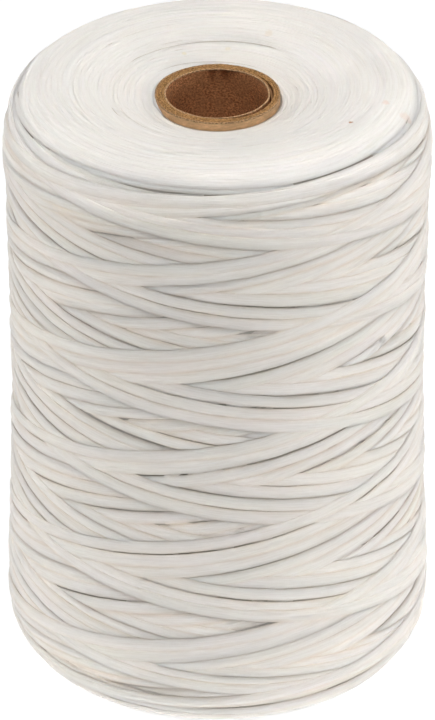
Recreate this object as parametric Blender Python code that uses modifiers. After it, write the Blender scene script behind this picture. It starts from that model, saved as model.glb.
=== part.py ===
"""Waxed thread spool: white waxed thread wound on a laminated kraft cardboard tube.

Units are metres, +Z is up, and the spool stands on the flattened crest of its lower end face,
so the origin is at the centre of its underside. The tube is five concentric layers that were
glued together and cut to length. The thread is one continuous length, modelled as the closed
solid that its turns fill: a waisted side, rounded shoulders, and bulged ends dished to the tube.
"""
import math

import bmesh
import bpy

OBJECT_NAME = "waxed_thread_spool"

# Cardboard tube, from the bore outwards.
BORE_RADIUS = 0.00794
TUBE_LENGTH = 0.0941
LINER_THICKNESS = 0.00025
PLY_THICKNESS = 0.00035
WRAP_THICKNESS = 0.00020
GLUE_LINE = 0.00005
PLY_NAMES = ("core_ply_inner", "core_ply_middle", "core_ply_outer")

# Wound thread. The side is narrowest halfway up, and each end has the same shape.
WINDING_HEIGHT = 0.0977
END_RADIUS = 0.0330
WAIST_RADIUS = 0.0321
WAIST_POWER = 1.5
SHOULDER_WIDTH = 0.0068
SHOULDER_HEIGHT = 0.0113
SHOULDER_POWER = 2.15
CREST_WIDTH = 0.0020
DISH_DEPTH = 0.0032
DISH_EASE = 0.0040
THREAD_CLEARANCE = 0.0003

# Facets.
SEGMENTS = 72
SHOULDER_STEPS = 8
SIDE_STEPS = 10
DISH_STEPS = 6
SHARP_ANGLE = math.radians(40.0)

LINER_COLOUR = (0.58, 0.42, 0.27, 1.0)
PLY_COLOUR = (0.30, 0.21, 0.13, 1.0)
WRAP_COLOUR = (0.56, 0.41, 0.26, 1.0)
THREAD_COLOUR = (0.86, 0.855, 0.84, 1.0)


def clear_scene():
    for obj in list(bpy.data.objects):
        bpy.data.objects.remove(obj, do_unlink=True)


def make_material(name, colour, roughness):
    material = bpy.data.materials.new(name)
    material.use_nodes = True
    shader = material.node_tree.nodes["Principled BSDF"]
    shader.inputs["Base Color"].default_value = colour
    shader.inputs["Roughness"].default_value = roughness
    shader.inputs["Metallic"].default_value = 0.0
    return material


def turned_solid(name, outline, material, collection):
    """Turn a closed outline of (radius, height) points about Z. The outline starts at the top
    of the inner wall, runs outwards, down the outer wall and back along the bottom."""
    mesh = bpy.data.meshes.new(name)
    profile = bmesh.new()
    corners = [profile.verts.new((radius, 0.0, height)) for radius, height in outline]
    for index, corner in enumerate(corners):
        profile.edges.new((corner, corners[(index + 1) % len(corners)]))
    profile.to_mesh(mesh)
    profile.free()

    solid = bpy.data.objects.new(name, mesh)
    collection.objects.link(solid)
    screw = solid.modifiers.new("Turn", "SCREW")
    screw.axis = "Z"
    screw.angle = math.tau
    screw.steps = SEGMENTS
    screw.render_steps = SEGMENTS
    screw.use_merge_vertices = True
    screw.merge_threshold = 0.00001

    evaluated = solid.evaluated_get(bpy.context.evaluated_depsgraph_get())
    turned = bpy.data.meshes.new_from_object(evaluated)
    solid.modifiers.clear()
    solid.data = turned
    bpy.data.meshes.remove(mesh)
    turned.name = name
    turned.materials.append(material)
    turned.shade_smooth()
    turned.set_sharp_from_angle(angle=SHARP_ANGLE)
    return solid


def make_tube(collection):
    """Build the tube's layers from the bore outwards and return its outer radius."""
    liner = make_material("kraft_liner", LINER_COLOUR, 0.75)
    board = make_material("kraft_board", PLY_COLOUR, 0.90)
    wrap = make_material("kraft_wrap", WRAP_COLOUR, 0.80)
    layers = [("core_inner_liner", LINER_THICKNESS, liner)]
    layers += [(ply_name, PLY_THICKNESS, board) for ply_name in PLY_NAMES]
    layers += [("core_outer_wrap", WRAP_THICKNESS, wrap)]

    bottom = 0.5 * (WINDING_HEIGHT - TUBE_LENGTH)
    top = bottom + TUBE_LENGTH
    inner = BORE_RADIUS
    for name, thickness, material in layers:
        outer = inner + thickness
        outline = [(inner, top), (outer, top), (outer, bottom), (inner, bottom)]
        turned_solid(name, outline, material, collection)
        inner = outer + GLUE_LINE
    return outer


def dished_face(inner_radius):
    """Points (radius, depth below the crest) from the tube out to the flat crest. The face is
    a shallow cone that eases into the crest."""
    crest_start = END_RADIUS - SHOULDER_WIDTH - CREST_WIDTH
    run = crest_start - inner_radius
    slope = DISH_DEPTH / (run - 0.5 * DISH_EASE)
    points = [(inner_radius, DISH_DEPTH)]
    for step in range(DISH_STEPS):
        distance = DISH_EASE * (1.0 - step / DISH_STEPS)
        points.append((crest_start - distance, 0.5 * slope * distance ** 2 / DISH_EASE))
    points.append((crest_start, 0.0))
    return points


def shoulder():
    """Points (radius, depth below the crest) down one quarter of a superellipse, from the
    crest's outer edge to where the side stands upright."""
    points = []
    for step in range(SHOULDER_STEPS + 1):
        turn = 0.5 * math.pi * (1.0 - step / SHOULDER_STEPS)
        across = math.cos(turn) ** (2.0 / SHOULDER_POWER)
        rise = math.sin(turn) ** (2.0 / SHOULDER_POWER)
        radius = END_RADIUS - SHOULDER_WIDTH * (1.0 - across)
        points.append((radius, SHOULDER_HEIGHT * (1.0 - rise)))
    return points


def waisted_side():
    """Points (radius, height) down the side, between the two shoulders."""
    middle = 0.5 * WINDING_HEIGHT
    half_length = middle - SHOULDER_HEIGHT
    points = []
    for step in range(1, SIDE_STEPS):
        position = 1.0 - 2.0 * step / SIDE_STEPS
        swell = (END_RADIUS - WAIST_RADIUS) * abs(position) ** WAIST_POWER
        points.append((WAIST_RADIUS + swell, middle + half_length * position))
    return points


def make_winding(tube_radius, collection):
    thread = make_material("waxed_thread", THREAD_COLOUR, 0.55)
    end = dished_face(tube_radius + THREAD_CLEARANCE) + shoulder()
    outline = [(radius, WINDING_HEIGHT - depth) for radius, depth in end]
    outline += waisted_side()
    outline += [(radius, depth) for radius, depth in reversed(end)]
    turned_solid("thread_winding", outline, thread, collection)


def main():
    clear_scene()
    collection = bpy.data.collections.new(OBJECT_NAME)
    bpy.context.scene.collection.children.link(collection)
    tube_radius = make_tube(collection)
    make_winding(tube_radius, collection)


main()
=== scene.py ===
"""Looks of the waxed thread spool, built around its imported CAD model.

The thread is wound here as a machine winds it. Every turn is a flat ribbon laid on a height map
of the turns below it, first the arcs that show on the two ends, from the tube outwards, and then
the crossing turns of the side. The tube's layers are rebuilt with ragged cut edges.
"""
import math

import bpy
import numpy as np
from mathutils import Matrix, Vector


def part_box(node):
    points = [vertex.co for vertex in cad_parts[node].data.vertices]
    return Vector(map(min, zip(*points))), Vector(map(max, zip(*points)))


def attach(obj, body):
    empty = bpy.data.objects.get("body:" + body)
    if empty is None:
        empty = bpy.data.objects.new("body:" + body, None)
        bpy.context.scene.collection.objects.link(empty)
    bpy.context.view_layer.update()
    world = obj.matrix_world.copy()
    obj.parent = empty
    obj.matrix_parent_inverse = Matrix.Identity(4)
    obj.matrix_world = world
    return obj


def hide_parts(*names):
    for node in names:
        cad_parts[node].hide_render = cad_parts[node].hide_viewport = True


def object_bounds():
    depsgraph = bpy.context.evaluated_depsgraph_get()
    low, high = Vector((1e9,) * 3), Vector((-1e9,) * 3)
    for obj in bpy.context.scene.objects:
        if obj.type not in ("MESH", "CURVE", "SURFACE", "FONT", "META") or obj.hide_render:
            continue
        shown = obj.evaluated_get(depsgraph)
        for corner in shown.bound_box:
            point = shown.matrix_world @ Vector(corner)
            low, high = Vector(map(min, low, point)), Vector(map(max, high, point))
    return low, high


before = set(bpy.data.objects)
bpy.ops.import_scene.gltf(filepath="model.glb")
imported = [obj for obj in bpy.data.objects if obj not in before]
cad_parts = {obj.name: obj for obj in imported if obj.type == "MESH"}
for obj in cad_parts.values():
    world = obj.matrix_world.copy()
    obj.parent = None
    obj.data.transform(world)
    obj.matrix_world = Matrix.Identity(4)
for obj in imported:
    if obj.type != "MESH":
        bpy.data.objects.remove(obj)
cad_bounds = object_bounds()

MM = 0.001
TAU = math.tau
WINDING_SEED = 11
TUBE_SEED = 5

# Thread on the side, and thinner arcs where it is seen edge-on on the ends. PRESSED is how much
# of its thickness is left where other turns cross it.
THREAD_WIDTH = 2.12 * MM
THREAD_THICKNESS = 0.33 * MM
THREAD_PRESSED = 0.09 * MM
ARC_PRESSED = 0.02 * MM
SECTION_ANGLES = np.radians([0.0, 24.0, 47.0, 70.0, 90.0, 110.0, 133.0, 156.0, 180.0])
SECTION_FALL = 1.75
UNDERSIDE = (6, 4, 2)
SINK = 0.04 * MM

# Height map of the wound surface.
MAP_ANGLES = 1080
MAP_STEP = 0.2 * MM
OUTLINE_BLUR = 4
SAME_PLACE = 0.02 * MM
LEVEL_BLUR = 0.8 * MM
PATH_STEP = 0.25 * MM
RING_EVERY = 6
ACROSS_TIMES = 3
LAY_LENGTH = 60.0 * MM
BRIDGE = 6.0 * MM
BRIDGE_RADIUS = 14.0 * MM
DRAPE_RADIUS = 0.9 * MM

# How a strand bends down to pass under another, and what is left out of sight.
CROSSING_RADIUS = 2.0 * MM
CROSSING_REACH = 2.2 * MM
CROSSING_GAP = 0.03 * MM
TOP_BLUR = 2.2
OPEN_SKY = 1.0
SEEN_MARGIN = 2.0 * MM
BRIDGED_GAP = 3.0 * MM

# Winding machine: the side's to-and-fro strokes, as (turns per double stroke, double strokes).
# Each ratio lies just short of a simple fraction, so that turns lie side by side in bands. The
# winding ends at LAST_ANGLE.
STROKE_PLAN = ((6.3132, 14), (6.2285, 12), (6.4692, 26))
STROKE_JITTER = 0.0015
LAST_ANGLE = math.radians(-72.4)
REVERSAL_SHARPNESS = 0.92
REVERSAL_FIRST = 6.6 * MM
REVERSAL_LAST = 8.9 * MM
TRAVERSE_SHIFT = -0.45 * MM
LOOSE_TURNS = 0.45
RIM_SPAN = 11.5 * MM
RIM_SHARE = 0.30
RIM_SCATTER = 1.3 * MM
STRAY_POWER = 14
REVERSAL_SCATTER = 0.6 * MM
SCATTER_STROKES = 9
SIDE_PIECES = 5

# How a side strand wanders, as (distance, samples over which it changes). A twist makes it wider
# and thinner, and a plump stretch thicker, by these shares and over these numbers of samples.
SIDE_WANDERS = ((0.17 * MM, 170), (0.10 * MM, 60))
TWIST_SAMPLES = 170
TWIST_WIDER = 0.07
TWIST_THINNER = 0.15
PLUMP_SAMPLES = 60
PLUMP_THICKER = 0.12

# Arcs on the ends and over the rims, in millimetres: (pitch, width, thickness, most slip at
# their ends, length that slips). They fade out over ARC_FADE at their ends, and wander by a
# distance over a number of samples. RIM_BANDS says where the rim's arcs lie, from the crest, after
# each half of the side.
END_ARCS = (0.40, 0.80, 0.080, 0.6, 9.0)
RIM_ARCS = (0.70, 1.30, 0.13, 1.6, 30.0)
ARC_FADE = 9.0 * MM
ARC_WANDERS = ((0.15 * MM, 40), (0.20 * MM, 130))
RIM_BANDS = ((-1.0 * MM, 8.0 * MM), (-3.0 * MM, 6.0 * MM))

# One turn has climbed the tube's wall: how far its middle is below the rim of the tube, in
# millimetres, at directions in degrees, and its width and thickness.
HUGGING_DROPS = ((58.0, 4.4), (90.0, 2.4), (120.0, 1.35), (150.0, 1.17), (190.0, 1.17),
                 (205.0, 1.85), (219.0, 2.60), (226.0, 3.40), (234.0, 4.40))
HUGGING_RINGS = 120
HUGGING_WIDTH = 2.1 * MM
HUGGING_THICKNESS = 0.45 * MM

# Packed turns under the laid ones, and the share of laid heights that the CAD outline stands for.
BODY_SEGMENTS = 240
BODY_EVERY = 4
BODY_SHARE = 4.0
BODY_REACH = 1.0 * MM
BODY_BLUR = 3.0
BODY_MARGIN = 0.04 * MM
OUTLINE_SHARE = 86.0

# How far the winding strays from the CAD outline, as (height, direction in degrees, half width of
# it, place along the outline from the tube, half length of it): the upper rim is fuller, most at
# the back right, and the lower one rounder. A place below zero counts from the lower end.
SWELLS = (
    (0.45 * MM, 0.0, 1000.0, 24.0 * MM, 5.5 * MM),
    (0.45 * MM, 48.0, 34.0, 15.5 * MM, 7.0 * MM),
    (1.15 * MM, 152.0, 48.0, 0.0, 5.0 * MM),
    (-0.22 * MM, 0.0, 1000.0, -19.0 * MM, 4.5 * MM),
)

# The bottom's crest is pressed flat by the floor.
REST_GAP = 0.02 * MM

# Each arc's filaments start somewhere else in their pattern, within this many millimetres.
PATTERN_LENGTH = 3000.0

# Cardboard tube: how far below its rim the walls' rings lie, in millimetres, how ragged its cut
# is, the segments over which that closes up all round, and how deep a raised edge reaches.
TUBE_SEGMENTS = 300
TUBE_DEPTHS = (0.0, 0.15, 0.5, 1.2, 2.5, 5.0, 10.0, 25.0)
RAGGED = 0.06 * MM
JOIN_SEGMENTS = 20
RISE_DEPTH = 2.0 * MM
SHARP_DEGREES = 50.0

# The kraft papers' darker mottling and the frayed parts of their cut, as shares of their colours,
# and where the cut's colour begins and is complete, in millimetres from the tube's ends.
MOTTLE_SHADE = 0.55
CUT_SHADE = 0.42
CUT_BAND = (0.40, 0.12)

# The thread is painted a little lighter on its two ends than on its side. This is painted light,
# tuned for the look and not measured. The change begins WHITER_FROM away from the spool's middle
# and is complete WHITEST_INSET short of its ends.
SIDE_WHITE = (0.872, 0.838, 0.790)
END_WHITE_PAINTED_LIGHTER = (0.890, 0.863, 0.824)
# The packed turns' white is darker: painted shade for thread seen deep in the gaps between strands.
PACKED_WHITE_PAINTED_SHADE = (0.69, 0.665, 0.62)
WHITER_FROM = 44.5 * MM
WHITEST_INSET = 0.4 * MM

# What the thread's colour is multiplied by between filaments and strips of them, as painted shade
# at a strand's edges, and as painted shade in the valleys between strands, which begin and end at
# these depths in millimetres.
FIBRE_SHADE = (0.74, 0.70, 0.64, 1.0)
STRIP_SHADE = (0.78, 0.73, 0.66, 1.0)
EDGE_PAINTED_SHADE = (0.77, 0.69, 0.62, 1.0)
BURIED_PAINTED_SHADE = (0.87, 0.75, 0.63, 1.0)
BURIED_DEPTHS = (0.10, 0.55)

# Small stains on the upper face: (centre, radius, colour that it is multiplied by).
SPECKS = (
    ((0.0203, -0.0126, 0.0), 0.48 * MM, (0.50, 0.25, 0.14, 1.0)),
    ((0.0257, -0.0064, 0.0), 0.80 * MM, (0.96, 0.86, 0.82, 1.0)),
    ((0.0288, -0.0086, 0.0), 1.20 * MM, (0.98, 0.90, 0.87, 1.0)),
    ((-0.0052, 0.0131, 0.0), 0.50 * MM, (0.97, 0.93, 0.80, 1.0)),
    ((0.0016, 0.0147, 0.0), 0.60 * MM, (0.98, 0.95, 0.86, 1.0)),
    ((0.0079, 0.0175, 0.0), 0.90 * MM, (0.96, 0.92, 0.87, 1.0)),
)

# The floor is a pale sheet that glows softly, which is painted light: most behind the spool and
# a little in front of it, where it lights the spool's lower front, as (centre, near and far
# distance, glow there). It doesn't glow where the spool stands, which paints a dark contact
# shadow at its foot.
FLOOR_GREY = (0.36, 0.36, 0.36, 1.0)
GLOW_BEHIND = ((0.0, 0.10, 0.0), (0.24, 0.50), (0.75, 0.30))
GLOW_AHEAD = ((0.0, -0.09, 0.0), (0.04, 0.15), (0.14, 0.0))
GLOW_BEHIND_SCALE = (0.5, 1.0, 1.0)
STANDING_RADII = (25.0 * MM, 28.5 * MM)

# Soft boxes, as (name, place, width, height, power), all turned towards LAMP_TARGET.
WHITE = (1.0, 1.0, 1.0, 1.0)
WORLD_LIGHT = 0.03
LAMP_TARGET = (0.0, 0.0, 0.05)
LAMPS = (
    ("left_box", (-1.0, 0.20, 0.22), 1.0, 0.36, 3.5),
    ("right_box", (1.0, 0.0, 0.22), 1.0, 0.36, 4.7),
    ("top_box", (0.0, -0.25, 1.25), 0.8, 0.8, 13.5),
)

# Camera: its angle above level, its distance, and the height that it frames.
CAMERA_ELEVATION = 29.5
CAMERA_DISTANCE = 1.65
FRAME_HEIGHT = 0.1120
SENSOR_WIDTH = 36.0


# ---------------------------------------------------------------- helpers

def smooth_noise(rng, count, spacing):
    """Smooth noise in -1 to 1, one value per sample, that changes over about spacing samples."""
    knots = rng.uniform(-1.0, 1.0, int(count / spacing) + 4)
    position = np.arange(count) / spacing
    whole = position.astype(int)
    blend = position - whole
    blend = blend * blend * (3.0 - 2.0 * blend)
    return knots[whole] * (1.0 - blend) + knots[whole + 1] * blend


def blurred(values, sigma):
    """Values blurred by a Gaussian of sigma samples, with the ends held."""
    reach = max(1, int(3 * sigma))
    kernel = np.exp(-0.5 * (np.arange(-reach, reach + 1) / sigma) ** 2)
    padded = np.pad(values, reach, mode="edge")
    return np.convolve(padded, kernel / kernel.sum(), mode="valid")


def facing(angles, degrees, half_width):
    """A smooth hump of height 1 around one direction."""
    away = (angles - math.radians(degrees) + math.pi) % TAU - math.pi
    return np.exp(-(away / math.radians(half_width)) ** 2)


def closed_by_arcs(heights, spacing, radius, reach):
    """Fill the valleys of heights, along axis 0, as a taut band that can't bend tighter than
    radius would: the lowest surface of that curvature lying on heights."""
    count = int(reach / spacing)
    offsets = np.arange(-count, count + 1)
    drop = (offsets * spacing) ** 2 / (2.0 * radius)
    size = len(heights)
    padded = np.pad(heights, ((count, count), (0, 0)), mode="edge")
    raised = np.full_like(heights, -1.0)
    for offset, fall in zip(offsets, drop):
        start = offset + count
        raised = np.maximum(raised, padded[start:start + size] - fall)
    padded = np.pad(raised, ((count, count), (0, 0)), mode="edge")
    filled = np.full_like(heights, 1.0)
    for offset, fall in zip(offsets, drop):
        start = offset + count
        filled = np.minimum(filled, padded[start:start + size] + fall)
    return filled


# ---------------------------------------------------------------- wound surface

class WoundSurface:
    """The winding's outline from the CAD solid, unrolled into an angle and a distance along the
    outline, which starts at the tube on the upper end and finishes at the tube below. It holds
    the height of the thread laid so far above a bare former."""

    def __init__(self, node, tube_radius):
        outline = self.outline_of(node)
        upper, lower = [tube_radius, outline[0, 1]], [tube_radius, outline[-1, 1]]
        outline = np.concatenate([[upper], outline, [lower]])
        steps = np.hypot(*np.diff(outline, axis=0).T)
        distance = np.concatenate([[0.0], np.cumsum(steps)])
        self.length = distance[-1]
        self.grid = np.arange(0.0, self.length + MAP_STEP, MAP_STEP)
        self.radii = blurred(np.interp(self.grid, distance, outline[:, 0]), OUTLINE_BLUR)
        self.heights = blurred(np.interp(self.grid, distance, outline[:, 1]), OUTLINE_BLUR)
        slope_r = np.gradient(self.radii, MAP_STEP)
        slope_z = np.gradient(self.heights, MAP_STEP)
        size = np.hypot(slope_r, slope_z)
        self.normal_r = -slope_z / size
        self.normal_z = slope_r / size
        self.laid = np.zeros((MAP_ANGLES, len(self.grid)))
        self.crowns = np.zeros((MAP_ANGLES, len(self.grid)))
        self.ceiling = np.full((MAP_ANGLES, len(self.grid)), OPEN_SKY)
        self.level = np.zeros(len(self.grid))

    @staticmethod
    def outline_of(node):
        """The (radius, height) outline of a turned node, outside its bore."""
        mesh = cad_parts[node].data
        points = np.array([vertex.co for vertex in mesh.vertices])
        radius = np.hypot(points[:, 0], points[:, 1])
        height = points[:, 2]
        centre = (0.5 * (radius.min() + radius.max()), 0.5 * (height.min() + height.max()))
        turn = np.arctan2(height - centre[1], radius - centre[0])
        inner_turn = math.atan2(height.max() - centre[1], radius.min() - centre[0])
        order = np.argsort((inner_turn - turn + 0.5) % TAU)
        corner = []
        for index in order:
            point = np.array([radius[index], height[index]])
            if not corner or np.hypot(*(point - corner[-1])) > SAME_PLACE:
                corner.append(point)
        corner = np.array(corner)
        inner = np.flatnonzero(corner[:, 0] < radius.min() + SAME_PLACE)
        corner = np.roll(corner, -inner[corner[inner, 1] > centre[1]][0], axis=0)
        last = np.flatnonzero(corner[:, 0] < radius.min() + SAME_PLACE)[-1]
        return corner[:last + 1]

    def at(self, values, along):
        return np.interp(along, self.grid, values)

    def sample(self, angle, along):
        """Height of the laid thread, between the map's cells."""
        column = (angle / TAU * MAP_ANGLES) % MAP_ANGLES
        row = np.clip(along / MAP_STEP, 0.0, len(self.grid) - 1.001)
        column_0 = column.astype(int) % MAP_ANGLES
        column_1 = (column_0 + 1) % MAP_ANGLES
        row_0 = row.astype(int)
        part_c = column - np.floor(column)
        part_r = row - row_0
        low = self.laid[column_0, row_0] * (1 - part_c) + self.laid[column_1, row_0] * part_c
        high = (self.laid[column_0, row_0 + 1] * (1 - part_c)
                + self.laid[column_1, row_0 + 1] * part_c)
        return low * (1 - part_r) + high * part_r

    def cells(self, angle, along):
        column = np.rint(angle / TAU * MAP_ANGLES).astype(int) % MAP_ANGLES
        row = np.clip(np.rint(along / MAP_STEP).astype(int), 0, len(self.grid) - 1)
        return column.ravel(), row.ravel()

    def ceiling_over(self, angle, along):
        """The lowest base of the strands laid later, or OPEN_SKY."""
        return self.ceiling[self.cells(angle, along)].reshape(angle.shape)

    def settle(self):
        """Take as level, which the CAD outline shows, the height that most crowns reach."""
        crowns = np.percentile(self.crowns, OUTLINE_SHARE, axis=0)
        self.level = blurred(crowns, LEVEL_BLUR / MAP_STEP)
        lowest = np.percentile(self.laid, BODY_SHARE, axis=0)
        rows = int(BODY_REACH / MAP_STEP)
        padded = np.pad(lowest, rows, mode="edge")
        lowest = np.min([padded[row:row + len(lowest)] for row in range(2 * rows + 1)], axis=0)
        self.packed = np.minimum(blurred(lowest, BODY_BLUR), lowest) - BODY_MARGIN

    def place(self, angle, along, height):
        """Points in space for a height above the former, as an array of shape (..., 3)."""
        lift = height - self.at(self.level, along)
        for rise, degrees, half_width, centre, half_length in SWELLS:
            centre = centre if centre >= 0.0 else self.length + centre
            hump = facing(angle, degrees, half_width)
            lift = lift + rise * hump * np.exp(-((along - centre) / half_length) ** 2)
        radius = self.at(self.radii, along) + lift * self.at(self.normal_r, along)
        up = self.at(self.heights, along) + lift * self.at(self.normal_z, along)
        return np.stack([radius * np.cos(angle), radius * np.sin(angle), up], axis=-1)


class Strand:
    """One stretch of laid thread: its course, the height of what it lies on, and its size. Its
    top, and which samples can be seen, are known once everything is wound."""

    def __init__(self, angle, along, base, width, thickness, start):
        self.angle = angle
        self.along = along
        self.base = base
        self.width = width
        self.thickness = thickness
        self.start = start
        self.top = None
        self.seen = None


SECTION_ACROSS = np.cos(SECTION_ANGLES)
SECTION_RISE = np.sin(SECTION_ANGLES) ** SECTION_FALL


def tracks(surface, angle, along, width):
    """The course of each point of the ribbon's section, beside the middle of the ribbon."""
    radius = surface.at(surface.radii, along)
    step_a = np.gradient(np.unwrap(angle)) * radius
    step_v = np.gradient(along)
    size = np.hypot(step_a, step_v)
    side_a = -step_v / size / radius
    side_v = step_a / size
    offset = 0.5 * width[:, None] * SECTION_ACROSS[None, :]
    return angle[:, None] + offset * side_a[:, None], along[:, None] + offset * side_v[:, None]


def drape(base, width):
    """Round the ribbon over the edges that it crosses, from one side of it to the other."""
    spacing = width / (len(SECTION_ACROSS) - 1)
    return closed_by_arcs(base.T, spacing, DRAPE_RADIUS, width).T


def finer(values, times):
    """Values with times as many steps along axis 0, straight between the given ones."""
    position = np.arange((len(values) - 1) * times + 1) / times
    whole = np.minimum(position.astype(int), len(values) - 2)
    part = (position - whole).reshape(-1, *[1] * (values.ndim - 1))
    return values[whole] * (1.0 - part) + values[whole + 1] * part


def fine_tracks(surface, track_a, track_v, *heights):
    """Tracks and heights on them, close enough together to touch every cell of the map."""
    smallest = surface.at(surface.radii, track_v).min()
    times = max(1, math.ceil(1.2 * PATH_STEP / (TAU / MAP_ANGLES * smallest)))
    return [finer(finer(values, times).T, ACROSS_TIMES).T
            for values in (track_a, track_v, *heights)]


def press_in(surface, track_a, track_v, rest, pressed, thickness):
    """Raise the map to the pressed top of a freshly laid length, and the crowns to its full top."""
    laid = rest + pressed[:, None] * SECTION_RISE
    crown = rest + thickness[:, None] * SECTION_RISE
    fine_a, fine_v, laid, crown = fine_tracks(surface, track_a, track_v, laid, crown)
    cells = surface.cells(fine_a, fine_v)
    np.maximum.at(surface.laid, cells, laid.ravel())
    np.maximum.at(surface.crowns, cells, crown.ravel())


def lay_course(surface, angle, along, width, thickness, pressed, start=0.0):
    """Lay thread along a course, in short lengths, each resting on the ones before. A length is
    pressed into the map only once the next has been measured, so that none rests on itself."""
    per_length = int(LAY_LENGTH / PATH_STEP)
    margin = int(BRIDGE / PATH_STEP)
    track_a, track_v = tracks(surface, angle, along, width)
    count = len(angle)
    base = np.zeros((count, len(SECTION_ACROSS)))
    raw_behind = np.zeros((0, len(SECTION_ACROSS)))
    pending = None
    for first in range(0, count - 1, per_length):
        last = min(count, first + per_length + 1)
        ahead = min(count, last + margin)
        raw = surface.sample(track_a[first:ahead], track_v[first:ahead])
        behind = len(raw_behind)
        raw = np.concatenate([raw_behind, raw])
        rest = drape(closed_by_arcs(raw, PATH_STEP, BRIDGE_RADIUS, BRIDGE), width.mean())
        rest = rest[behind:behind + last - first]
        base[first:last] = rest
        raw_behind = raw[max(0, behind + per_length - margin):behind + per_length]
        if pending is not None:
            press_in(surface, *pending)
        pending = (track_a[first:last], track_v[first:last], rest, pressed[first:last],
                   thickness[first:last])
    press_in(surface, *pending)
    return Strand(angle, along, base, width, thickness, start)


def crush(surface, strands):
    """Press each strand down where later ones cross it. Going back from the last strand, a top
    stays under the lowest base above it, and bends down to it on an easy curve."""
    per_length = int(LAY_LENGTH / PATH_STEP)
    for strand in reversed(strands):
        track_a, track_v = tracks(surface, strand.angle, strand.along, strand.width)
        count = len(strand.angle)
        top = strand.base + strand.thickness[:, None] * SECTION_RISE
        free = np.zeros(top.shape, bool)
        pending = None
        for first in reversed(range(0, count - 1, per_length)):
            last = min(count, first + per_length + 1)
            limit = surface.ceiling_over(track_a[first:last], track_v[first:last])
            free[first:last] = limit >= OPEN_SKY
            top[first:last] = np.minimum(top[first:last], limit - CROSSING_GAP)
            if pending is not None:
                cells, low = pending
                np.minimum.at(surface.ceiling, cells, low)
            fine_a, fine_v, low = fine_tracks(surface, track_a[first:last], track_v[first:last],
                                              strand.base[first:last])
            pending = (surface.cells(fine_a, fine_v), low.ravel())
        cells, low = pending
        np.minimum.at(surface.ceiling, cells, low)
        eased = eased_down(top)
        eased = np.stack([blurred(column, TOP_BLUR) for column in eased.T], axis=1)
        strand.top = np.maximum(eased, strand.base)
        strand.seen = free.any(axis=1)


def eased_down(top):
    """The highest surface under top, along axis 0, that bends no tighter than at a crossing."""
    count = int(CROSSING_REACH / PATH_STEP)
    padded = np.pad(top, ((count, count), (0, 0)), mode="edge")
    eased = top.copy()
    for offset in range(-count, count + 1):
        rise = (offset * PATH_STEP) ** 2 / (2.0 * CROSSING_RADIUS)
        eased = np.minimum(eased, padded[count + offset:count + offset + len(top)] + rise)
    return eased


def runs_seen(strand, first=0, last=None):
    """The (first, last) sample ranges of a strand that can be seen, with a margin each way."""
    last = len(strand.seen) if last is None else last
    margin = int(SEEN_MARGIN / PATH_STEP)
    places = np.flatnonzero(strand.seen[first:last]) + first
    runs = []
    for place in places:
        low, high = max(first, place - margin), min(last, place + margin + 1)
        if runs and low <= runs[-1][1] + BRIDGED_GAP / PATH_STEP:
            runs[-1][1] = high
        else:
            runs.append([low, high])
    return [run for run in runs if run[1] - run[0] > 2 * RING_EVERY]


def side_course(rng, surface, crest):
    """The machine's course over the side: a to-and-fro traverse whose turns drift a little each
    stroke, so that bands of parallel turns build up and cross each other."""
    turns_each = [turns for turns, strokes in STROKE_PLAN for _ in range(strokes)]
    half_strokes = 2 * len(turns_each)
    turns_each.append(turns_each[-1])
    circumference = TAU * surface.radii.max()
    levels = []
    scatter = [REVERSAL_SCATTER * smooth_noise(rng, half_strokes + 2, SCATTER_STROKES)
               for _ in range(2)]
    for index in range(half_strokes + 2):
        done = index / half_strokes
        inset = crest + REVERSAL_FIRST + (REVERSAL_LAST - REVERSAL_FIRST) * done
        inset += scatter[index % 2][index]
        level = inset if index % 2 == 0 else surface.length - inset
        levels.append(level + TRAVERSE_SHIFT)
    angles, alongs = [], []
    turned = 0.0
    strays = rng.uniform(-RIM_SCATTER, RIM_SCATTER, half_strokes + 2)
    for index in range(half_strokes + 1):
        turns = 0.5 * turns_each[index // 2] + rng.uniform(-STROKE_JITTER, STROKE_JITTER)
        phase = np.arange(int(turns * circumference / PATH_STEP))
        phase = phase / len(phase)
        if index == half_strokes:
            last_reversal = TAU * turned
            phase = phase[:int(len(phase) * LOOSE_TURNS / turns)]
        wave = np.arcsin(REVERSAL_SHARPNESS * np.sin(math.pi * (phase - 0.5)))
        wave = wave / math.asin(REVERSAL_SHARPNESS)
        middle = 0.5 * (levels[index] + levels[index + 1])
        half = 0.5 * (levels[index + 1] - levels[index])
        stray = np.where(phase < 0.5, strays[index], strays[index + 1]) * wave ** STRAY_POWER
        alongs.append(middle + half * wave + stray)
        angles.append(TAU * (turned + turns * phase))
        turned += turns
    along = np.concatenate(alongs)
    for size, samples in SIDE_WANDERS:
        along = along + size * smooth_noise(rng, len(along), samples)
    angle = np.concatenate(angles)
    return angle - last_reversal % TAU + LAST_ANGLE, along


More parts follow.
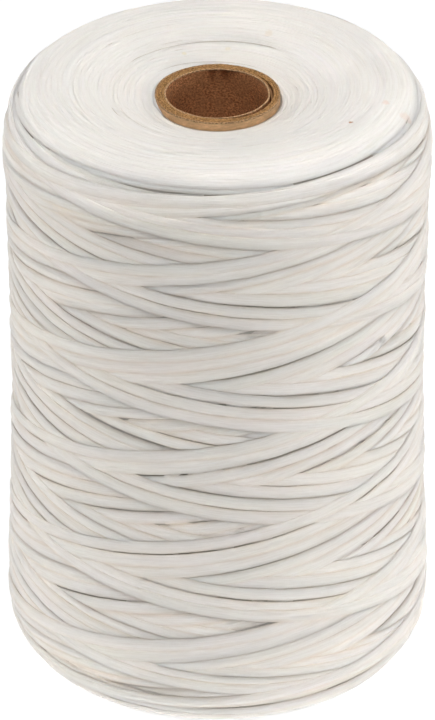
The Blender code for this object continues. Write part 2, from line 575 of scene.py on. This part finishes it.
def end_courses(rng, surface, first, last, kind):
    """Courses of the arcs that show on an end, from the tube outwards: the thread's edge where
    it turns back. Arcs overlap all the way round, and each slips outwards and thins out at both
    of its ends. They are given for the upper end, as (angle, along, width, thickness)."""
    pitch, wide, thick, slip_most, slip_length = (value * MM for value in kind)
    courses = []
    inset = first
    while inset < last:
        radius = float(surface.at(surface.radii, inset))
        arcs = int(rng.integers(2, 5))
        starts = (np.arange(arcs) + rng.uniform(-0.3, 0.3, arcs)) / arcs
        starts = np.sort(starts + rng.uniform(0.0, 1.0))
        for index in range(arcs):
            begin = starts[index] * TAU - 0.5 * slip_length / radius
            finish = (starts[index + 1] if index + 1 < arcs else starts[0] + 1.0) * TAU
            finish += 0.5 * slip_length / radius
            count = int((finish - begin) * radius / PATH_STEP)
            angle = np.linspace(begin, finish, count)
            from_end = np.minimum(np.arange(count), np.arange(count)[::-1]) * PATH_STEP
            slip = rng.uniform(0.2, 1.0) * slip_most
            slip = slip * np.clip(1.0 - from_end / slip_length, 0.0, 1.0) ** 2
            wander = sum(size * smooth_noise(rng, count, samples)
                         for size, samples in ARC_WANDERS)
            width = wide * (1.0 + 0.30 * smooth_noise(rng, count, 60))
            thickness = thick * (1.0 + 0.5 * smooth_noise(rng, count, 80))
            fade = np.clip(from_end / ARC_FADE, 0.0, 1.0)
            thickness = thickness * fade
            width = width * (0.3 + 0.7 * fade)
            along = inset + rng.uniform(-0.12, 0.12) * MM + slip + wander
            courses.append((angle, np.maximum(along, 0.5 * width), width, thickness))
        inset += pitch * rng.uniform(0.7, 1.3)
    return courses


# ---------------------------------------------------------------- meshes

def new_object(name, points, faces, lay):
    """A smooth mesh object from arrays of points and of quads or triangles, with a vector for
    each point that materials read as the attribute lay."""
    mesh = bpy.data.meshes.new(name)
    corners = np.concatenate([np.asarray(block).ravel() for block in faces])
    sizes = np.concatenate([np.full(len(block), np.shape(block)[1]) for block in faces])
    mesh.vertices.add(len(points))
    mesh.vertices.foreach_set("co", np.asarray(points, np.float32).ravel())
    mesh.loops.add(len(corners))
    mesh.loops.foreach_set("vertex_index", corners.astype(np.int32))
    mesh.polygons.add(len(sizes))
    starts = np.concatenate([[0], np.cumsum(sizes)[:-1]])
    mesh.polygons.foreach_set("loop_start", starts.astype(np.int32))
    mesh.polygons.foreach_set("use_smooth", np.full(len(sizes), True))
    mesh.update(calc_edges=True)
    mesh.validate()
    layer = mesh.attributes.new("lay", "FLOAT_VECTOR", "POINT")
    layer.data.foreach_set("vector", np.asarray(lay, np.float32).ravel())
    made = bpy.data.objects.new(name, mesh)
    bpy.context.scene.collection.objects.link(made)
    return made


def ribbon(surface, strand, first, last):
    """Points and lay of the closed ribbon along a strand's samples first to last."""
    picks = np.arange(first, last, RING_EVERY)
    if last - 1 - picks[-1] > 1:
        picks = np.append(picks, last - 1)
    track_a, track_v = tracks(surface, strand.angle[first:last], strand.along[first:last],
                              strand.width[first:last])
    angle, along = track_a[picks - first], track_v[picks - first]
    under = list(UNDERSIDE)
    angle = np.concatenate([angle, angle[:, under]], axis=1)
    along = np.concatenate([along, along[:, under]], axis=1)
    height = np.concatenate([strand.top[picks], strand.base[picks][:, under] - SINK], axis=1)
    points = surface.place(angle, along, height)
    across = np.concatenate([SECTION_ACROSS, SECTION_ACROSS[under]])
    travelled = strand.start + picks * PATH_STEP / MM
    depth = surface.at(surface.level, along) - height
    lay = np.stack([
        np.broadcast_to(travelled[:, None], depth.shape),
        np.broadcast_to(across[None, :], depth.shape),
        depth / MM,
    ], axis=-1)
    return points, lay


def ribbon_object(name, bands):
    """One object of many closed ribbons, each given as its (points, lay), ring by ring."""
    all_points, all_lay, quads, triangles = [], [], [], []
    total = 0
    for points, lay in bands:
        rings, around = points.shape[:2]
        index = total + np.arange(rings * around).reshape(rings, around)
        here, ahead = index[:-1], index[1:]
        beside = np.roll(index, -1, axis=1)
        quads.append(np.stack([here, ahead, beside[1:], beside[:-1]], axis=-1).reshape(-1, 4))
        for ring, turn in ((index[0], 1), (index[-1], -1)):
            fan = np.stack([np.full(around - 2, ring[0]), ring[1:-1], ring[2:]], axis=-1)
            triangles.append(fan[:, ::turn])
        all_points.append(points.reshape(-1, 3))
        all_lay.append(lay.reshape(-1, 3))
        total += rings * around
    points = np.concatenate(all_points)
    points[:, 2] = np.maximum(points[:, 2], REST_GAP)
    faces = [np.concatenate(quads), np.concatenate(triangles)]
    return new_object(name, points, faces, lay=np.concatenate(all_lay))


def packed_body(surface, tube_radius):
    """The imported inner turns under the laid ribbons: a closed turned solid."""
    angles = np.arange(BODY_SEGMENTS) * TAU / BODY_SEGMENTS
    along = np.append(surface.grid[:-BODY_EVERY:BODY_EVERY], surface.length)
    grid_a, grid_v = np.meshgrid(angles, along)
    points = surface.place(grid_a, grid_v, surface.at(surface.packed, grid_v))
    for ring in (points[0], points[-1]):
        ring[:, 0] = tube_radius * np.cos(angles)
        ring[:, 1] = tube_radius * np.sin(angles)
    index = np.arange(points.shape[0] * BODY_SEGMENTS).reshape(-1, BODY_SEGMENTS)
    beside = np.roll(index, -1, axis=1)
    quads = np.stack([index[:-1], index[1:], beside[1:], beside[:-1]], axis=-1).reshape(-1, 4)
    bore = np.stack([index[-1], index[0], beside[0], beside[-1]], axis=-1)
    around = grid_a * surface.at(surface.radii, grid_v)
    lay = np.stack([around / MM, grid_v / MM, np.ones_like(grid_a)], axis=-1)
    points = points.reshape(-1, 3)
    points[:, 2] = np.maximum(points[:, 2], 2.0 * REST_GAP)
    return new_object("winding_packed_body", points, [quads, bore], lay=lay.reshape(-1, 3))


def tube_hugging_turn(tube_radius, rim):
    """Points and lay of a turn that leaves the end and climbs the tube's wall, flat against it."""
    directions, drops = np.array(HUGGING_DROPS).T
    turns = np.radians(np.linspace(directions[0], directions[-1], HUGGING_RINGS))
    drops = blurred(np.interp(np.degrees(turns), directions, drops), 2.0) * MM
    across = np.concatenate([SECTION_ACROSS, SECTION_ACROSS[list(UNDERSIDE)]])
    rise = np.concatenate([SECTION_RISE, np.zeros(len(UNDERSIDE))])
    radius = tube_radius + HUGGING_THICKNESS * rise
    points = np.stack([
        np.cos(turns)[:, None] * radius,
        np.sin(turns)[:, None] * radius,
        (rim - drops)[:, None] - across * 0.5 * HUGGING_WIDTH,
    ], axis=-1)
    travelled = (turns * tube_radius)[:, None] / MM
    lay = np.stack([
        np.broadcast_to(travelled, points.shape[:2]),
        np.broadcast_to(across, points.shape[:2]),
        np.zeros(points.shape[:2]),
    ], axis=-1)
    return points, lay


def build_winding():
    """Wind the spool and return the pieces, all of which stand for thread_winding."""
    tube_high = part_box("core_outer_wrap")[1]
    tube_radius = tube_high.x + REST_GAP
    surface = WoundSurface("thread_winding", tube_radius)
    crest = float(surface.grid[np.argmax(surface.heights)])
    rng = np.random.default_rng(WINDING_SEED)

    arcs = {"top": [], "bottom": []}
    order = []

    def lay_arcs(first, last, kind):
        for end, laid in arcs.items():
            for angle, along, width, thickness in end_courses(rng, surface, first, last, kind):
                if end == "bottom":
                    along = surface.length - along
                start = rng.uniform(0.0, PATTERN_LENGTH)
                pressed = np.full_like(angle, ARC_PRESSED)
                strand = lay_course(surface, angle, along, width, thickness, pressed, start)
                laid.append(strand)
                order.append(strand)

    lay_arcs(0.5 * END_ARCS[1] * MM, crest + REVERSAL_FIRST, END_ARCS)
    angle, along = side_course(rng, surface, crest)
    twist = smooth_noise(rng, len(angle), TWIST_SAMPLES)
    plump = smooth_noise(rng, len(angle), PLUMP_SAMPLES)
    width = THREAD_WIDTH * (1.0 + TWIST_WIDER * twist)
    thickness = THREAD_THICKNESS * (1.0 - TWIST_THINNER * twist + PLUMP_THICKER * plump)
    from_crest = np.minimum(along, surface.length - along) - crest
    tautness = np.clip(from_crest / RIM_SPAN, RIM_SHARE, 1.0)
    width = width * (0.5 + 0.5 * tautness)
    thickness = thickness * tautness
    pressed = THREAD_PRESSED * tautness ** 2
    half = len(angle) // 2
    halves = (slice(0, half + RING_EVERY), slice(half, len(angle)))
    for part, (rim_first, rim_last) in zip(halves, RIM_BANDS):
        side = lay_course(surface, angle[part], along[part], width[part], thickness[part],
                          pressed[part], part.start * PATH_STEP / MM)
        order.append(side)
        lay_arcs(crest + rim_first, crest + rim_last, RIM_ARCS)
    surface.settle()
    crush(surface, order)

    pieces = [packed_body(surface, tube_radius)]
    for end, strands in arcs.items():
        bands = [ribbon(surface, strand, *run) for strand in strands for run in runs_seen(strand)]
        pieces.append(ribbon_object(f"winding_{end}_end_arcs", bands))
    # The first half of the side is wholly covered by the second, which is cut into pieces.
    cuts = np.linspace(0, len(side.angle), SIDE_PIECES + 1).astype(int)
    for number, (first, last) in enumerate(zip(cuts[:-1], cuts[1:]), start=1):
        last = min(len(side.angle), last + RING_EVERY)
        bands = [ribbon(surface, side, *run) for run in runs_seen(side, first, last)]
        pieces.append(ribbon_object(f"winding_outer_turns_{number}", bands))
    turn = tube_hugging_turn(tube_radius, tube_high.z)
    pieces.append(ribbon_object("winding_arcs_on_tube", [turn]))
    return pieces


# ---------------------------------------------------------------- materials

class Nodes:
    """Shorthand for building one material's node tree."""

    def __init__(self, name):
        self.material = bpy.data.materials.new(name)
        self.material.use_nodes = True
        self.tree = self.material.node_tree
        self.shader = self.tree.nodes["Principled BSDF"]

    def add(self, kind, inputs=(), **settings):
        node = self.tree.nodes.new(kind)
        for key, value in settings.items():
            setattr(node, key, value)
        for key, value in dict(inputs).items():
            self.feed(node.inputs[key], value)
        return node

    def feed(self, socket, value):
        if isinstance(value, bpy.types.NodeSocket):
            self.tree.links.new(value, socket)
        else:
            socket.default_value = value

    def math(self, operation, first, second=0.5):
        return self.add("ShaderNodeMath", {0: first, 1: second}, operation=operation).outputs[0]

    def mix(self, factor, first, second, blend="MIX"):
        node = self.add("ShaderNodeMix", data_type="RGBA", blend_type=blend)
        self.feed(node.inputs[0], factor)
        self.feed(node.inputs[6], first)
        self.feed(node.inputs[7], second)
        return node.outputs[2]

    def span(self, value, low, high, to_low=0.0, to_high=1.0):
        """An eased change from to_low to to_high while value goes from low to high."""
        node = self.add("ShaderNodeMapRange", {0: value, 1: low, 2: high, 3: to_low, 4: to_high},
                        interpolation_type="SMOOTHSTEP")
        return node.outputs[0]

    def noise(self, vector, scale, detail=2.0, roughness=0.5):
        return self.add("ShaderNodeTexNoise", {"Vector": vector, "Scale": scale,
                        "Detail": detail, "Roughness": roughness})

    def vector(self, x, y, z):
        return self.add("ShaderNodeCombineXYZ", {0: x, 1: y, 2: z}).outputs[0]

    def bump(self, height, strength, distance):
        return self.add("ShaderNodeBump", {"Height": height, "Strength": strength,
                        "Distance": distance}).outputs[0]


def opaque(colour, share=1.0):
    """A colour socket's value from a colour of three parts, or from a share of its brightness."""
    return (*(share * part for part in colour), 1.0)


def thread_material(name, side_white, end_white_painted_lighter, marking, specks=()):
    """Waxed flat thread: filaments along it, faint tints, painted shade at its edges and in the
    valleys between strands, and painted light on the spool's two ends. Marking is the strength of
    the filaments and of the painted edge shade. Specks are small stains on the upper face."""
    nodes = Nodes(name)
    lay = nodes.add("ShaderNodeAttribute", attribute_name="lay").outputs["Vector"]
    parts = nodes.add("ShaderNodeSeparateXYZ", {0: lay}).outputs
    travelled, across, depth = parts[0], parts[1], parts[2]

    fibre_place = nodes.vector(nodes.math("MULTIPLY", travelled, 0.22),
                               nodes.math("MULTIPLY", across, 5.0), 0.0)
    fibres = nodes.noise(fibre_place, 1.0, 4.0, 0.65).outputs[0]
    strips_place = nodes.vector(nodes.math("MULTIPLY", travelled, 0.06),
                                nodes.math("MULTIPLY", across, 1.5), 3.0)
    strips = nodes.noise(strips_place, 1.0, 2.0, 0.5).outputs[0]
    tint_place = nodes.vector(nodes.math("MULTIPLY", travelled, 0.05), 0.0, 0.0)
    tint = nodes.noise(tint_place, 1.0, 2.0, 0.5).outputs[1]

    place = nodes.add("ShaderNodeTexCoord").outputs["Object"]
    height = nodes.add("ShaderNodeSeparateXYZ", {0: place}).outputs[2]
    middle = 0.5 * (cad_bounds[0].z + cad_bounds[1].z)
    from_middle = nodes.math("ABSOLUTE", nodes.math("SUBTRACT", height, middle))
    # Painted light: the thread's white turns lighter towards the spool's two ends.
    painted_light_near_end = nodes.span(from_middle, WHITER_FROM, middle - WHITEST_INSET)
    white = nodes.mix(painted_light_near_end, opaque(side_white), opaque(end_white_painted_lighter))
    colour = nodes.mix(0.16, white, tint, "SOFT_LIGHT")
    colour = nodes.mix(nodes.span(fibres, 0.36, 0.60, 0.24 * marking, 0.0), colour,
                       FIBRE_SHADE, "MULTIPLY")
    colour = nodes.mix(nodes.span(strips, 0.30, 0.55, 0.16 * marking, 0.0), colour,
                       STRIP_SHADE, "MULTIPLY")
    # Painted shade: each strand is darker towards both edges, and more towards its +across edge,
    # which is its lower edge on the spool's side.
    beside = nodes.math("ABSOLUTE", across)
    edge = nodes.math("ADD", nodes.span(beside, 0.30, 1.0, 0.0, 0.11 * marking),
                      nodes.span(across, 0.0, 1.0, 0.0, 0.13 * marking))
    colour = nodes.mix(edge, colour, EDGE_PAINTED_SHADE, "MULTIPLY")
    # Painted shade: the thread is darker the deeper it lies below the level, in the valleys between
    # strands.
    valley_painted_shade = nodes.span(depth, *BURIED_DEPTHS, 0.0, 0.42)
    colour = nodes.mix(valley_painted_shade, colour, BURIED_PAINTED_SHADE, "MULTIPLY")
    blotches = nodes.noise(place, 1400.0, 2.0, 0.6).outputs[0]
    plan = nodes.add("ShaderNodeVectorMath", {0: place, 1: (1.0, 1.0, 0.0)},
                     operation="MULTIPLY").outputs[0]
    for centre, size, stain in specks:
        away = nodes.add("ShaderNodeVectorMath", {0: plan, 1: centre}, operation="DISTANCE")
        spread = nodes.math("ADD", away.outputs["Value"],
                            nodes.math("MULTIPLY", blotches, size))
        colour = nodes.mix(nodes.span(spread, 0.9 * size, 1.5 * size, 1.0, 0.0), colour, stain,
                           "MULTIPLY")
    nodes.feed(nodes.shader.inputs["Base Color"], colour)

    nodes.feed(nodes.shader.inputs["Roughness"], nodes.span(strips, 0.3, 0.7, 0.55, 0.75))
    height = nodes.math("ADD", fibres, strips)
    nodes.feed(nodes.shader.inputs["Normal"], nodes.bump(height, 0.6, 0.00021))
    nodes.shader.inputs["Specular IOR Level"].default_value = 0.25
    nodes.shader.inputs["Sheen Weight"].default_value = 0.1
    nodes.shader.subsurface_method = "BURLEY"
    nodes.shader.inputs["Subsurface Weight"].default_value = 0.9
    nodes.shader.inputs["Subsurface Radius"].default_value = (1.0, 0.88, 0.76)
    nodes.shader.inputs["Subsurface Scale"].default_value = 0.0022
    return nodes.material


def kraft_material(name, colour, streak, cut, roughness, grain):
    """Kraft paper: fibres of two shades, drawn out by grain, mottling and a matte, slightly
    uneven surface, with another shade where it is cut at the tube's two ends."""
    nodes = Nodes(name)
    lay = nodes.add("ShaderNodeAttribute", attribute_name="lay").outputs["Vector"]
    low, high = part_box("core_outer_wrap")
    middle, half = 0.5 * (low.z + high.z) / MM, 0.5 * (high.z - low.z) / MM
    parts = nodes.add("ShaderNodeSeparateXYZ", {0: lay}).outputs
    long_fibres = nodes.add("ShaderNodeMapping", {"Vector": lay, "Scale": grain})
    fibres = nodes.noise(long_fibres.outputs[0], 1.6, 4.0, 0.65).outputs[0]
    mottle = nodes.noise(lay, 0.55, 2.0, 0.5).outputs[0]
    base = nodes.mix(nodes.span(fibres, 0.34, 0.68), opaque(streak), opaque(colour))
    base = nodes.mix(nodes.span(mottle, 0.35, 0.65, 0.0, 0.45), base,
                     opaque(colour, MOTTLE_SHADE))
    frayed = nodes.noise(lay, 2.6, 3.0, 0.6).outputs[0]
    from_middle = nodes.math("ABSOLUTE", nodes.math("SUBTRACT", parts[1], middle))
    end = nodes.span(from_middle, half - CUT_BAND[0], half - CUT_BAND[1])
    edge = nodes.mix(nodes.span(frayed, 0.40, 0.60), opaque(cut, CUT_SHADE), opaque(cut))
    base = nodes.mix(end, base, edge)
    nodes.feed(nodes.shader.inputs["Base Color"], base)
    nodes.feed(nodes.shader.inputs["Roughness"], nodes.span(fibres, 0.3, 0.7, roughness, 0.95))
    nodes.feed(nodes.shader.inputs["Normal"], nodes.bump(fibres, 0.5, 0.0001))
    nodes.shader.inputs["Specular IOR Level"].default_value = 0.2
    return nodes.material


# ---------------------------------------------------------------- cardboard tube

def tube_layer(rng, node, slump, rise, lift):
    """A layer of the tube rebuilt with ragged cut ends. The middle of its cut edge stands lift
    above its faces, slump(angle, depth) moves its wall inwards near the top, and rise(angle)
    is how far its top edge stands above the cut."""
    low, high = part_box(node)
    vertices = np.array([vertex.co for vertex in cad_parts[node].data.vertices])
    inner = np.hypot(vertices[:, 0], vertices[:, 1]).min()
    outer = high.x
    angles = np.arange(TUBE_SEGMENTS) * TAU / TUBE_SEGMENTS
    depths = np.array(TUBE_DEPTHS) * MM
    half = 0.5 * (high.z - low.z)
    drops = np.concatenate([depths, [half], 2.0 * half - depths[::-1]])
    ring_noise = []
    for _ in range(6):
        fine = np.roll(smooth_noise(rng, TUBE_SEGMENTS, 1.6), 3)
        coarse = smooth_noise(rng, TUBE_SEGMENTS, 9.0)
        join = np.arange(TUBE_SEGMENTS) - TUBE_SEGMENTS + JOIN_SEGMENTS
        join = np.clip(join / JOIN_SEGMENTS, 0.0, 1.0)
        mixed = 0.6 * fine + 0.4 * coarse
        ring_noise.append(mixed * (1.0 - join) + mixed[0] * join)

    def ring(radius, height, depth):
        shift = slump(angles, depth)
        height = height + rise(angles) * max(0.0, 1.0 - depth / RISE_DEPTH)
        return np.stack([(radius - shift) * np.cos(angles), (radius - shift) * np.sin(angles),
                         height], axis=-1)

    def wall(radius, upper, lower):
        """Rings down one face of the layer, with the ragged heights of its two edges."""
        heights = [np.full(TUBE_SEGMENTS, high.z - drop) for drop in drops]
        heights[0] = heights[0] + upper - RAGGED
        heights[-1] = heights[-1] + lower + RAGGED
        return [ring(radius, height, drop) for height, drop in zip(heights, drops)]

    ragged = RAGGED * np.array(ring_noise)
    middle = 0.5 * (inner + outer)
    rings = wall(inner, ragged[0], ragged[3])[::-1]
    rings.append(ring(middle, high.z + ragged[1] - RAGGED + lift, 0.0))
    rings += wall(outer, ragged[2], ragged[5])
    rings.append(ring(middle, low.z + ragged[4] + RAGGED - lift, 2.0 * half))
    points = np.stack(rings)
    count = len(rings)
    index = np.arange(count * TUBE_SEGMENTS).reshape(count, TUBE_SEGMENTS)
    up = np.roll(index, -1, axis=0)
    quads = np.stack([index, up, np.roll(up, -1, axis=1), np.roll(index, -1, axis=1)], axis=-1)
    around = np.broadcast_to(angles * middle / MM, points.shape[:2])
    radius = np.hypot(points[..., 0], points[..., 1])
    lay = np.stack([around, points[..., 2] / MM, radius / MM * 3.0], axis=-1)
    name = node.replace("core_", "tube_")
    made = new_object(name, points.reshape(-1, 3), [quads.reshape(-1, 4)],
                      lay=lay.reshape(-1, 3))
    made.data.set_sharp_from_angle(angle=math.radians(SHARP_DEGREES))
    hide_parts(node)
    return made


def plain(angles, depth=0.0):
    """No shift: a straight wall, or a level cut."""
    return np.zeros_like(angles)


def lifted_liner(angles, depth):
    """The liner has come a little away from the board at the right and front right, and its
    torn edge leans in at the back."""
    ripple = 1.0 + 0.35 * np.sin(5.0 * angles) + 0.2 * np.sin(11.0 * angles + 1.0)
    fade = max(0.0, 1.0 - depth / (7.0 * MM)) ** 2
    lean = max(0.0, 1.0 - depth / (0.9 * MM))
    return (0.16 * facing(angles, -25.0, 60.0) * ripple * fade
            + 0.50 * torn_edge(angles) * lean) * MM


def torn_edge(angles):
    """Flakes of torn paper on the liner's edge at the back, from 0 to 1."""
    bite = 0.75 + 0.25 * np.sin(23.0 * angles)
    return np.clip(1.4 * (facing(angles, 95.0, 4.0) + facing(angles, 79.0, 8.0)) * bite, 0.0, 1.0)


def torn_liner(angles):
    """The flakes stand a little above the cut."""
    return 0.24 * MM * torn_edge(angles)


def sunk_board(angles):
    """The innermost ply has crumbled away below the cut at the right."""
    crumbs = 1.0 + 0.3 * np.sin(17.0 * angles) * np.sin(7.0 * angles + 0.6)
    return -MM * (0.95 * facing(angles, 2.0, 26.0) + 0.35 * facing(angles, -45.0, 30.0)) * crumbs


def build_tube():
    """The five layers of the tube, each with its own paper and its own kind of cut."""
    rng = np.random.default_rng(TUBE_SEED)
    liner = kraft_material("kraft_liner", (0.86, 0.41, 0.18), (0.30, 0.115, 0.045),
                           (0.72, 0.44, 0.23), 0.6, (1.7, 2.1, 1.0))
    board = kraft_material("kraft_board", (0.40, 0.21, 0.09), (0.22, 0.115, 0.05),
                           (0.55, 0.295, 0.115), 0.8, (0.7, 2.4, 1.0))
    wrap = kraft_material("kraft_wrap", (0.90, 0.57, 0.31), (0.66, 0.41, 0.215),
                          (0.60, 0.37, 0.19), 0.65, (0.7, 2.4, 1.0))
    made = []
    for node, slot, material, slump, rise, lift in (
        ("core_inner_liner", "kraft_liner", liner, lifted_liner, torn_liner, 0.02 * MM),
        ("core_ply_inner", "kraft_board", board, plain, sunk_board, 0.05 * MM),
        ("core_ply_middle", "kraft_board", board, plain, plain, 0.07 * MM),
        ("core_ply_outer", "kraft_board", board, plain, plain, 0.06 * MM),
        ("core_outer_wrap", "kraft_wrap", wrap, plain, plain, 0.02 * MM),
    ):
        layer = tube_layer(rng, node, slump, rise, lift)
        layer.data.materials.append(material)
        made.append(layer)
    return made


# ---------------------------------------------------------------- stage

def glow_near(nodes, place, centre, distances, glows):
    away = nodes.add("ShaderNodeVectorMath", {0: place, 1: centre}, operation="DISTANCE")
    return nodes.span(away.outputs["Value"], *distances, *glows)


def build_floor():
    bpy.ops.mesh.primitive_plane_add(size=8.0, location=(0.0, 0.0, 0.0))
    floor = bpy.context.object
    floor.name = "floor"
    nodes = Nodes("glowing_floor_paper")
    nodes.shader.inputs["Base Color"].default_value = FLOOR_GREY
    nodes.shader.inputs["Roughness"].default_value = 0.9
    nodes.shader.inputs["Emission Color"].default_value = WHITE
    place = nodes.add("ShaderNodeTexCoord").outputs["Object"]
    drawn_in = nodes.add("ShaderNodeVectorMath", {0: place, 1: GLOW_BEHIND_SCALE},
                         operation="MULTIPLY").outputs[0]
    centre = nodes.add("ShaderNodeVectorMath", {0: place}, operation="LENGTH").outputs["Value"]
    glow = nodes.math("ADD", glow_near(nodes, drawn_in, *GLOW_BEHIND),
                      glow_near(nodes, place, *GLOW_AHEAD))
    # No glow where the spool stands: a painted contact shadow at its foot.
    outside_painted_contact_shadow = nodes.span(centre, *STANDING_RADII)
    nodes.feed(nodes.shader.inputs["Emission Strength"], nodes.math("MULTIPLY", glow, outside_painted_contact_shadow))
    floor.data.materials.append(nodes.material)


def build_lights():
    world = bpy.data.worlds.new("studio")
    bpy.context.scene.world = world
    world.use_nodes = True
    background = world.node_tree.nodes["Background"]
    background.inputs[0].default_value = WHITE
    background.inputs[1].default_value = WORLD_LIGHT
    for name, place, width, height, power in LAMPS:
        lamp = bpy.data.lights.new(name, "AREA")
        lamp.shape = "RECTANGLE"
        lamp.size = width
        lamp.size_y = height
        lamp.energy = power
        lamp_object = bpy.data.objects.new(name, lamp)
        bpy.context.scene.collection.objects.link(lamp_object)
        lamp_object.location = place
        aim(lamp_object, LAMP_TARGET)


def aim(thing, target):
    direction = Vector(target) - thing.location
    thing.rotation_euler = direction.to_track_quat("-Z", "Y").to_euler()


def build_camera():
    """A long lens that looks down a little on the spool's middle."""
    low, high = cad_bounds
    middle = 0.5 * (low.z + high.z)
    camera = bpy.data.objects.new("camera", bpy.data.cameras.new("camera"))
    bpy.context.scene.collection.objects.link(camera)
    elevation = math.radians(CAMERA_ELEVATION)
    camera.location = (0.0, -CAMERA_DISTANCE * math.cos(elevation),
                       middle + CAMERA_DISTANCE * math.sin(elevation))
    aim(camera, (0.0, 0.0, middle))
    camera.data.sensor_width = SENSOR_WIDTH
    camera.data.lens = SENSOR_WIDTH * CAMERA_DISTANCE / FRAME_HEIGHT
    camera.data.clip_end = 20.0
    bpy.context.scene.camera = camera
    bpy.context.scene.view_settings.view_transform = "Standard"


# ---------------------------------------------------------------- assembly

winding = build_winding()
threads = {
    # The packed turns get a darker copy of the thread white, which is painted shade.
    "packed": thread_material("packed_thread_painted_shade", PACKED_WHITE_PAINTED_SHADE, PACKED_WHITE_PAINTED_SHADE, 1.0),
    "arcs": thread_material("thread_on_ends", SIDE_WHITE, END_WHITE_PAINTED_LIGHTER, 0.60, SPECKS),
    "turn": thread_material("thread_on_side", SIDE_WHITE, END_WHITE_PAINTED_LIGHTER, 0.9),
}
for piece in winding:
    kind = next(kind for kind in threads if kind in piece.name)
    piece.data.materials.append(threads[kind])
    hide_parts("thread_winding")
for piece in winding + build_tube():
    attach(piece, "root")
build_floor()
build_lights()
build_camera()
